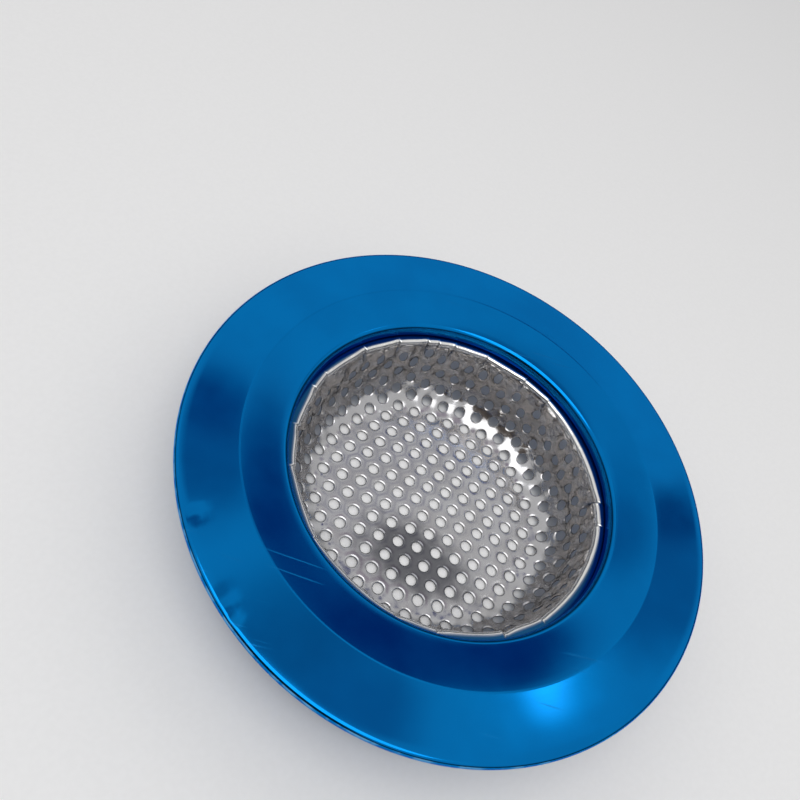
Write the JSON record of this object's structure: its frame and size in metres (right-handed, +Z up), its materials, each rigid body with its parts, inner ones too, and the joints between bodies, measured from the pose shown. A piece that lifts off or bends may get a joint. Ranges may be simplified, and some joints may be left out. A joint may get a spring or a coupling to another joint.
{
  "type": "sink strainer",
  "caption": "Round sink strainer: a wide dished metal rim ring whose neck is folded round the flange of a perforated drawn basket.",
  "frame": {"origin": "middle of the basket's flat underside, which is the lowest point of the strainer", "axes": "+Z up along the strainer's axis, out of the basket's mouth; +X along the rows of holes"},
  "size_m": [0.115, 0.115, 0.023],
  "materials": {
    "blue_rim": "glossy translucent blue lacquer on bright steel",
    "bright_steel": "bright rolled stainless sheet"
  },
  "bodies": {
    "root": {"rim_ring": "blue_rim", "perforated_basket": "bright_steel"}
  },
  "joints": []
}
